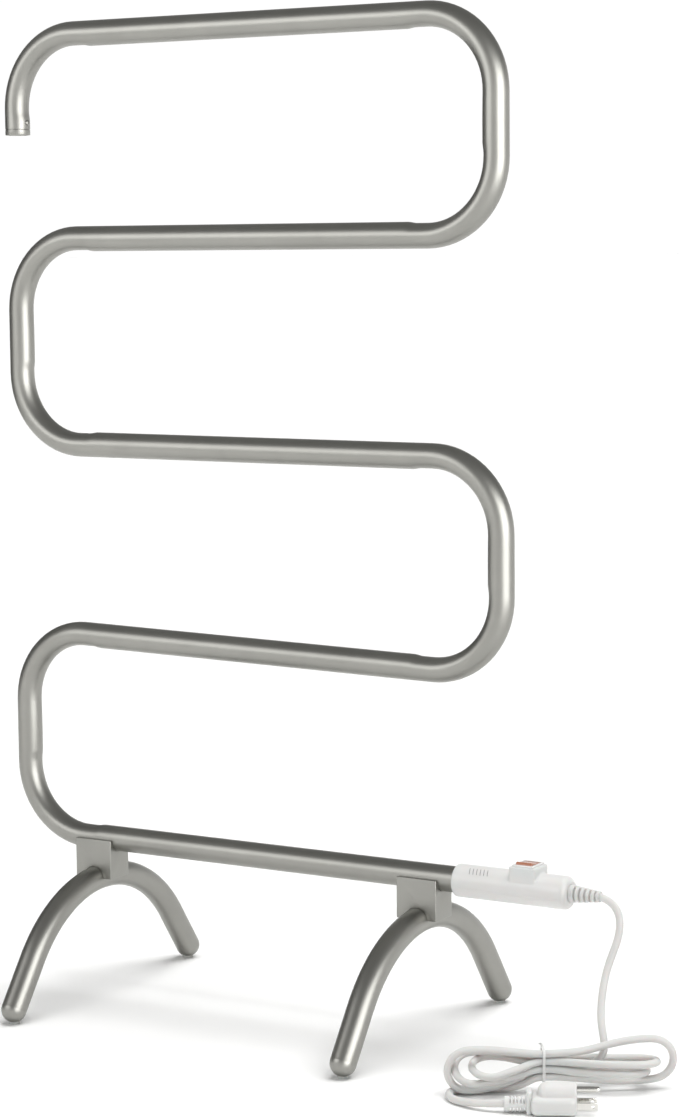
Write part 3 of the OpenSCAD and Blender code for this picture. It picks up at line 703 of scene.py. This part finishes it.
def rounded_edge(radius):
    """The profile of a rounded rim, from the flat end inwards along the housing."""
    arc = [math.pi / 2 * k / 8 for k in range(9)]
    return [(radius - radius * math.cos(a), HOUSING_R - radius + radius * math.sin(a)) for a in arc]


def housing_profile():
    length = HOUSING_X1 - HOUSING_X0
    left = [(0, TUBE_R + 0.1 * MM), *rounded_edge(LEFT_ROUND)]
    right = [(length - x, r) for x, r in reversed(rounded_edge(RIGHT_ROUND))]
    return [*left, *right, (length, RELIEF_BASE_R)]


def housing_mesh():
    """The housing with its switch tower as one rounded skin, with the line where its halves meet."""
    def body(bm):
        origin = Vector((HOUSING_X0, 0, RAIL_Z))
        skin_rings(bm, spin_rings(housing_profile(), origin, Vector((1, 0, 0)), UP, 96))

    half = TOWER_SIDE / 2
    tower = rounded_box_mesh("tower", Vector((SWITCH_X - half, -half, RAIL_Z - 2 * MM)),
                             Vector((SWITCH_X + half, half, TOWER_TOP + 3 * MM)), 2.2 * MM, 5)
    whole = boolean(mesh_from(body, "housing"), tower, "UNION", "housing")
    lid = rounded_box_mesh("lid", Vector((SWITCH_X - 30 * MM, -30 * MM, TOWER_TOP)),
                           Vector((SWITCH_X + 30 * MM, 30 * MM, TOWER_TOP + 20 * MM)), 0.1 * MM, 1)
    whole = boolean(whole, lid, "DIFFERENCE", "housing")
    whole = modifier_mesh(whole, "housing", [
        ("REMESH", {"mode": "VOXEL", "voxel_size": 0.55 * MM}),
        ("SMOOTH", {"factor": 0.5, "iterations": 9}),
    ])
    for vertex in whole.vertices:
        nearness = 1 - abs(vertex.co.z - PARTING_Z) / PARTING_HALF_WIDTH
        if nearness > 0 and HOUSING_X0 + 1.5 * MM < vertex.co.x < HOUSING_X1 - 4 * MM:
            out = Vector((0, vertex.co.y, vertex.co.z - RAIL_Z)).normalized()
            vertex.co -= out * PARTING_DEPTH * smooth_step(nearness)
    return whole


def pocket(mesh, name, centre, size):
    """The mesh with a box taken away."""
    tool = rounded_box_mesh(name, centre - size / 2, centre + size / 2, 0.3 * MM, 2)
    return boolean(mesh, tool, "DIFFERENCE", name)


def screw_holes(mesh):
    for x in HOUSING_SCREWS_X:
        def hole(bm, x=x):
            origin = Vector((HOUSING_X0 + x, 8.2 * MM, RAIL_Z - 16 * MM))
            profile = [(0, SCREW_HOLE_R), (8.2 * MM, SCREW_HOLE_R)]
            skin_rings(bm, spin_rings(profile, origin, UP, Vector((1, 0, 0)), 32))
        mesh = boolean(mesh, mesh_from(hole, "screw_hole"), "DIFFERENCE", "housing")
    return mesh


def make_housing():
    bezel_low, bezel_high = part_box("switch_body")
    mesh = housing_mesh()
    inner = Vector((bezel_high.x - bezel_low.x - 1 * MM, bezel_high.y - bezel_low.y - 1 * MM, 16 * MM))
    mesh = pocket(mesh, "switch_pocket", Vector((SWITCH_X, 0, TOWER_TOP)), inner)
    finish_piece(screw_holes(mesh), "control_housing", "housing_white",
                 ["housing_upper_shell", "housing_lower_shell"], smooth_angle=50)


make_housing()


def build_print(bm):
    """Plain strokes on the housing, standing in for its small print."""
    stroke, reach, steps = 0.5 * MM, HOUSING_R + 0.06 * MM, 6
    for k in range(6):
        x = HOUSING_X0 + (16 + 3.4 * k) * MM
        rows = []
        for x_edge in (x, x + stroke):
            row = []
            for step in range(steps + 1):
                angle = math.radians(38 + 26 * step / steps)
                lean = 1.6 * MM * (step / steps - 0.5)
                place = (x_edge - lean, -reach * math.cos(angle), RAIL_Z + reach * math.sin(angle))
                row.append(bm.verts.new(place))
            rows.append(row)
        for a in range(steps):
            bm.faces.new((rows[0][a], rows[1][a], rows[1][a + 1], rows[0][a + 1]))
    bmesh.ops.solidify(bm, geom=bm.faces[:], thickness=-0.05 * MM)


finish_piece(mesh_from(build_print, "housing_print"), "housing_print", "print_grey", [])

# ---- switch ----

# The opening that the rocker sits in
OPENING_X, OPENING_Y = 15.5 * MM, 18.7 * MM

def bezel_mesh():
    low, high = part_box("switch_body")
    frame_low = Vector((low.x, low.y, TOWER_TOP - 0.6 * MM))
    mesh = rounded_box_mesh("bezel", frame_low, high, 0.55 * MM, 3)
    opening = Vector((OPENING_X, OPENING_Y, 10 * MM))
    return pocket(mesh, "bezel", Vector((SWITCH_X, 0, high.z)), opening)


def build_well(bm):
    """The switch's case below the bezel, open at the top."""
    wall = 0.55 * MM
    outer = Vector((OPENING_X + 2 * wall, OPENING_Y + 2 * wall, 0)) / 2
    inner = Vector((OPENING_X, OPENING_Y, 0)) / 2
    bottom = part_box("switch_body")[0].z
    top, floor = TOWER_TOP - 0.5 * MM, bottom + 1.2 * MM

    def ring(half, z):
        corners = ((1, 1), (-1, 1), (-1, -1), (1, -1))
        return [Vector((SWITCH_X + x * half.x, y * half.y, z)) for x, y in corners]

    skin_rings(bm, [ring(inner, floor), ring(inner, top), ring(outer, top), ring(outer, bottom)])


finish_piece(bezel_mesh(), "switch_bezel", "switch_white", ["switch_body"])
finish_piece(mesh_from(build_well, "switch_case"), "switch_case", "switch_white", ["switch_body"])

ROCKER_TILT = math.radians(9)


def build_rocker(bm):
    """The rocker: a shallow V on top with rounded edges and a few grip lines, tilted to its rest stop."""
    width, end_r, top, dip = 15 * MM, 9.1 * MM, 4.6 * MM, 0.6 * MM
    below = -2.2 * MM
    outline = []
    top_half = math.sqrt(end_r ** 2 - top ** 2)
    for k in range(37):
        y = -top_half + 2 * top_half * k / 36
        grip = 0.14 * MM * max(0, math.cos(2 * math.pi * y / (1.5 * MM)))
        grip *= smooth_step((abs(y) - 3 * MM) / (1 * MM))
        edge = smooth_step((top_half - abs(y)) / (0.7 * MM))
        outline.append((y, top - dip * (1 - abs(y) / top_half) - grip * edge - 0.35 * MM * (1 - edge)))
    for k in range(1, 9):
        angle = math.asin(top / end_r) * (1 - k / 8) + math.asin(below / end_r) * k / 8
        outline.append((end_r * math.cos(angle), end_r * math.sin(angle)))
    outline += [(-y, z) for y, z in outline[:36:-1]]
    tilt = Matrix.Rotation(-ROCKER_TILT, 3, "X")
    pivot = Vector((SWITCH_X, 0, ROCKER_PIVOT_Z))
    rings = []
    for x, inset in ((-1, 0.5), (-0.985, 0.2), (-0.95, 0), (0.95, 0), (0.985, 0.2), (1, 0.5)):
        shrink = 1 - inset * MM / (9 * MM)
        rings.append([pivot + tilt @ Vector((x * width / 2, y * shrink, z * shrink)) for y, z in outline])
    skin_rings(bm, rings)


finish_piece(mesh_from(build_rocker, "rocker_button"), "rocker_button", "rocker_amber", ["rocker"],
             body="rocker", smooth_angle=25)

# ---- strain relief on the housing ----


def slotted(starts, width, depth, spine):
    """A radius factor with ring slots that stop at the two spines."""
    def factor(distance, angle):
        inside = max((1 - abs(distance - s) / (width / 2) for s in starts), default=0)
        if inside <= 0:
            return 1.0
        open_part = smooth_step((abs(math.sin(angle)) - spine) / 0.12)
        return 1 - depth * smooth_step(inside * 2.5) * open_part
    return factor


def build_relief(bm):
    """The tapered sleeve: a slight swell between its ring slots, and two spines along it."""
    length = RELIEF_HIGH.x - HOUSING_X1
    base, tip = RELIEF_BASE_R, 4.5 * MM
    starts = [(5.2 + 4.6 * k) * MM for k in range(5)]
    profile = [(-6 * MM, 5 * MM), (0, 5 * MM), (0.1 * MM, base)]
    steps = 130
    for k in range(1, steps):
        t = k / steps
        radius = base + (tip - base) * t
        radius += 0.35 * MM * math.sin(math.pi * ((t * length - 2.9 * MM) / (4.6 * MM) % 1)) * (1 - t)
        profile.append((0.1 * MM + t * (length - 0.1 * MM), radius - 0.3 * MM * (k == 1)))
    profile += [(length - 0.02 * MM, tip - 0.4 * MM), (length, CORD_D / 2 + 0.1 * MM)]
    shape = slotted(starts, 1.9 * MM, 0.42, 0.3)
    skin_rings(bm, spin_rings(profile, Vector((HOUSING_X1, 0, RAIL_Z)), Vector((1, 0, 0)), UP, 72, shape))


RELIEF = finish_piece(mesh_from(build_relief, "cord_strain_relief"), "cord_strain_relief", "cord_white",
                      ["strain_relief"])

# ---- plug ----

PLUG_ORIGIN = Vector(TAIL_ROUTE[-1]) * MM
PLUG_HEADING = math.radians(28)
PLUG_ALONG = Vector((math.cos(PLUG_HEADING), math.sin(PLUG_HEADING), 0))
PLUG_ACROSS = Vector((-math.sin(PLUG_HEADING), math.cos(PLUG_HEADING), 0))
PLUG_TURN = Matrix((PLUG_ALONG, PLUG_ACROSS, UP)).transposed().to_4x4()
PLUG_PLACE = Matrix.Translation(PLUG_ORIGIN) @ PLUG_TURN
RELIEF_LEN = 19.3 * MM
PLUG_END = 57.5 * MM
# The plug's underside, in the plug's own frame
PLUG_FLOOR = 0.25 * MM - PLUG_ORIGIN.z
SLAB_HIGH = 14.6 * MM
SLAB_HALF_WIDTH = 13.4 * MM
# From the middle plane to a flat blade, and from the blades up to the ground pin
BLADE_OFFSET = 6.35 * MM
GROUND_RISE = 11.9 * MM


def placed(mesh, matrix):
    mesh.transform(matrix)
    return mesh


def plug_head_mesh():
    start = RELIEF_LEN + 2.6 * MM
    slab = rounded_box_mesh("slab", Vector((start, -SLAB_HALF_WIDTH, PLUG_FLOOR)),
                            Vector((PLUG_END, SLAB_HALF_WIDTH, PLUG_FLOOR + SLAB_HIGH)), 4.4 * MM, 6)

    def dome(bm):
        origin = Vector((start + 5 * MM, 0, PLUG_FLOOR + SLAB_HIGH))
        length = PLUG_END - origin.x
        profile = [(0, 3 * MM), (1 * MM, 6.4 * MM), (3 * MM, 8.8 * MM), (6 * MM, 9.9 * MM),
                   (10 * MM, 10 * MM), (length - 1.2 * MM, 10 * MM), (length - 0.3 * MM, 9.6 * MM),
                   (length, 8.8 * MM)]
        skin_rings(bm, spin_rings(profile, origin, Vector((1, 0, 0)), UP, 64))

    head = boolean(slab, mesh_from(dome, "dome"), "UNION", "plug_head")
    return modifier_mesh(head, "plug_head", [
        ("REMESH", {"mode": "VOXEL", "voxel_size": 0.5 * MM}),
        ("SMOOTH", {"factor": 0.5, "iterations": 8}),
    ])


def collar_mesh():
    half = 8.8 * MM
    collar = rounded_box_mesh("collar", Vector((RELIEF_LEN - 1 * MM, -half, PLUG_FLOOR)),
                              Vector((RELIEF_LEN + 3.4 * MM, half, PLUG_FLOOR + 18.4 * MM)), 1.6 * MM, 4)
    for vertex in collar.vertices:
        forward = (vertex.co.x - RELIEF_LEN) / (3.4 * MM)
        vertex.co.y *= 1 - 0.1 * max(forward, 0)
    return collar


def build_plug_relief(bm):
    radius = 6.1 * MM
    starts = [(5.6 + 2.75 * k) * MM for k in range(5)]
    steps = 150
    profile = [(0.6 * MM, CORD_D / 2 + 0.1 * MM), (0.6 * MM, radius - 0.9 * MM),
               (0.9 * MM, radius - 0.3 * MM)]
    for k in range(steps + 1):
        profile.append((1.4 * MM + (RELIEF_LEN - 1.4 * MM) * k / steps, radius))
    shape = slotted(starts, 1.4 * MM, 0.46, 0.3)
    rings = spin_rings(profile, Vector((0, 0, 0)), Vector((1, 0, 0)), Vector((0, -1, 0)), 72, shape)
    skin_rings(bm, rings)


def make_plug():
    parts = [
        ("plug_head", plug_head_mesh(), 50),
        ("plug_collar", collar_mesh(), 50),
        ("plug_relief", mesh_from(build_plug_relief, "plug_relief"), 35),
    ]
    made = []
    for name, mesh, angle in parts:
        mesh = placed(mesh, PLUG_PLACE)
        made.append(finish_piece(mesh, name, "plug_white", ["plug_body"], smooth_angle=angle))
    return made


def blade_mesh(name, sign):
    """A flat blade with a rounded tip and its hole."""
    length, thick, width = 16.3 * MM, 1.5 * MM, 6.3 * MM
    y = sign * BLADE_OFFSET
    mesh = rounded_box_mesh(name, Vector((PLUG_END - 2 * MM, y - thick / 2, -width / 2)),
                            Vector((PLUG_END + length, y + thick / 2, width / 2)), 0.45 * MM, 3)

    def hole(bm):
        skin_rings(bm, spin_rings([(-3 * MM, 1.5 * MM), (3 * MM, 1.5 * MM)],
                                  Vector((PLUG_END + 12.5 * MM, y, 0)), Vector((0, 1, 0)), UP, 32))

    mesh = boolean(mesh, mesh_from(hole, name), "DIFFERENCE", name)
    return placed(mesh, PLUG_PLACE)


def build_ground_pin(bm):
    radius, length = 2.36 * MM, 16.4 * MM
    profile = [(-2 * MM, radius), (length, radius)]
    profile += [(length + radius * 0.85 * math.sin(a), radius * math.cos(a))
                for a in [math.radians(12 * k) for k in range(1, 8)]]
    skin_rings(bm, spin_rings(profile, Vector((PLUG_END, 0, GROUND_RISE)), Vector((1, 0, 0)), UP, 40))


PLUG_PIECES = make_plug()
for sign, name in ((-1, "plug_blade_front"), (1, "plug_blade_rear")):
    PLUG_PIECES.append(finish_piece(blade_mesh(name, sign), name, "plug_nickel", ["plug_blades"]))
PLUG_PIECES.append(finish_piece(placed(mesh_from(build_ground_pin, "ground_pin"), PLUG_PLACE), "ground_pin",
                                "plug_nickel", ["plug_ground_pin"]))

# ---- tie ----


# The strip's section: (along the hank, out from it), in millimetres, with a wire's ridge in the middle
TIE_SECTION = [(-1.2, 0.1), (-1.0, 0.45), (-0.35, 0.5), (0, 0.85), (0.35, 0.5), (1.0, 0.45), (1.2, 0.1),
               (0.9, -0.05), (-0.9, -0.05)]


def build_tie(bm):
    """A flat coated tie wrapped round the seven strands, with its twisted end on top."""
    half_n, low_z, high_z, corner = 6.3, 9.6, 35.5, 3.4
    right, left, top, bottom = half_n - corner, -half_n + corner, high_z - corner, low_z + corner
    path = []
    for cx, cz, start in ((right, top, 0), (left, top, 90), (left, bottom, 180), (right, bottom, 270)):
        for k in range(7):
            angle = math.radians(start + 15 * k)
            path.append((cx + corner * math.cos(angle), cz + corner * math.sin(angle)))
    count = len(path)
    strip = []
    for i, (n, z) in enumerate(path):
        before, after = path[i - 1], path[(i + 1) % count]
        flow = Vector((after[0] - before[0], after[1] - before[1], 0)).normalized()
        out = Vector((flow.y, -flow.x, 0))
        strip.append([in_hank(TIE_AT + along, z + out.y * lift, n + out.x * lift)
                      for along, lift in TIE_SECTION])
    skin_rings(bm, strip, joined=True)
    for phase in (0, math.pi):
        rings = []
        for k in range(29):
            t = k / 28
            angle = phase + t * 4 * math.pi
            along = TIE_AT + 0.75 * math.cos(angle) - 1.2 * t
            height = high_z - 0.4 + 3.4 * math.sin(t * 2.2) - 0.6 * t
            back = 1.5 + 0.75 * math.sin(angle) + 7 * t
            rings.append([in_hank(along + 0.55 * math.cos(b), height + 0.55 * math.sin(b), back)
                          for b in [2 * math.pi * j / 8 for j in range(8)]])
        skin_rings(bm, rings)


TIE = finish_piece(mesh_from(build_tie, "hank_tie"), "hank_tie", "tie_white", ["cord_tie"])

# ---- floor, world and lights ----

scene = bpy.context.scene
scene.view_settings.view_transform = "Standard"


def make_floor():
    mesh = bpy.data.meshes.new("floor")
    reach = 120
    corners = [(-reach, -reach, 0), (reach, -reach, 0), (reach, reach, 0), (-reach, reach, 0)]
    mesh.from_pydata(corners, [], [(0, 1, 2, 3)])
    floor = bpy.data.objects.new("floor", mesh)
    scene.collection.objects.link(floor)
    pale = surface("floor_pale", (0.86, 0.86, 0.855), 0.7, patch=3, vary=0.006, grain=200, depth=0)
    mesh.materials.append(pale)


def make_world():
    """A sky that is white near the horizon and grey overhead."""
    world = bpy.data.worlds.new("world")
    scene.world = world
    world.use_nodes = True
    tree = world.node_tree
    tree.nodes.clear()
    output = tree.nodes.new("ShaderNodeOutputWorld")
    background = tree.nodes.new("ShaderNodeBackground")
    tree.links.new(background.outputs[0], output.inputs[0])
    coordinates = tree.nodes.new("ShaderNodeTexCoord")
    split = tree.nodes.new("ShaderNodeSeparateXYZ")
    tree.links.new(coordinates.outputs["Generated"], split.inputs[0])
    sky = tree.nodes.new("ShaderNodeValToRGB")
    tree.links.new(split.outputs["Z"], sky.inputs["Fac"])
    elements = sky.color_ramp.elements
    elements[0].position, elements[0].color = 0.0, (1.02, 1.02, 1.02, 1)
    elements[1].position, elements[1].color = 1.0, (0.29, 0.29, 0.285, 1)
    for position, level in ((0.14, 1.02), (0.3, 0.5), (0.5, 0.31)):
        element = elements.new(position)
        element.color = (level, level, level * 0.99, 1)
    tree.links.new(sky.outputs["Color"], background.inputs["Color"])
    background.inputs["Strength"].default_value = 1.0


TARGET = Vector((0, 0, 0.42))


def aim(lamp, azimuth, elevation, distance):
    """Puts the lamp around the rack's middle and turns it there; azimuth 0 is the rack's front."""
    a, e = math.radians(azimuth), math.radians(elevation)
    back = Vector((math.sin(a) * math.cos(e), -math.cos(a) * math.cos(e), math.sin(e)))
    lamp.location = TARGET + back * distance
    lamp.rotation_euler = (-back).to_track_quat("-Z", "Y").to_euler()


def softbox(name, azimuth, elevation, distance, width, height, radiance, lights_plastics=True):
    """An area light of a given radiance, unseen by the camera, that may show in the metal only."""
    data = bpy.data.lights.new(name, "AREA")
    data.shape = "RECTANGLE"
    data.size, data.size_y = width, height
    data.energy = radiance * width * height * math.pi
    lamp = bpy.data.objects.new(name, data)
    scene.collection.objects.link(lamp)
    lamp.visible_camera = False
    lamp.visible_diffuse = lights_plastics
    aim(lamp, azimuth, elevation, distance)


def grey_card(azimuth, distance, width, height):
    """A dull card beside the rack, which only reflections see: it darkens the uprights' edges."""
    mesh = bpy.data.meshes.new("grey_card")
    half = width / 2
    corners = [(-half, 0, 0), (half, 0, 0), (half, 0, height), (-half, 0, height)]
    mesh.from_pydata(corners, [], [(0, 1, 2, 3)])
    card = bpy.data.objects.new("grey_card", mesh)
    scene.collection.objects.link(card)
    a = math.radians(azimuth)
    card.location = (math.sin(a) * distance, -math.cos(a) * distance, 0.01)
    card.rotation_euler = (0, 0, a)
    mesh.materials.append(surface("card_grey", (0.14, 0.14, 0.137), 0.8, patch=5))
    card.visible_camera = card.visible_diffuse = card.visible_shadow = card.visible_transmission = False


def sun(name, azimuth, elevation, strength, spread):
    """A large soft sun that lights the floor and the plastics, and that the metal does not mirror."""
    data = bpy.data.lights.new(name, "SUN")
    data.energy = strength
    data.angle = math.radians(spread)
    lamp = bpy.data.objects.new(name, data)
    scene.collection.objects.link(lamp)
    lamp.visible_glossy = False
    aim(lamp, azimuth, elevation, 5)


make_floor()
make_world()
grey_card(-100, 2.2, 3.3, 1.8)
softbox("front_band", -31, 21, 2.6, 1.9, 1.3, 2.2)
softbox("right_strip", 72, 8, 2.4, 2.3, 2.0, 4.4, lights_plastics=False)
sun("high_key", 128, 76, 3.1, 50)
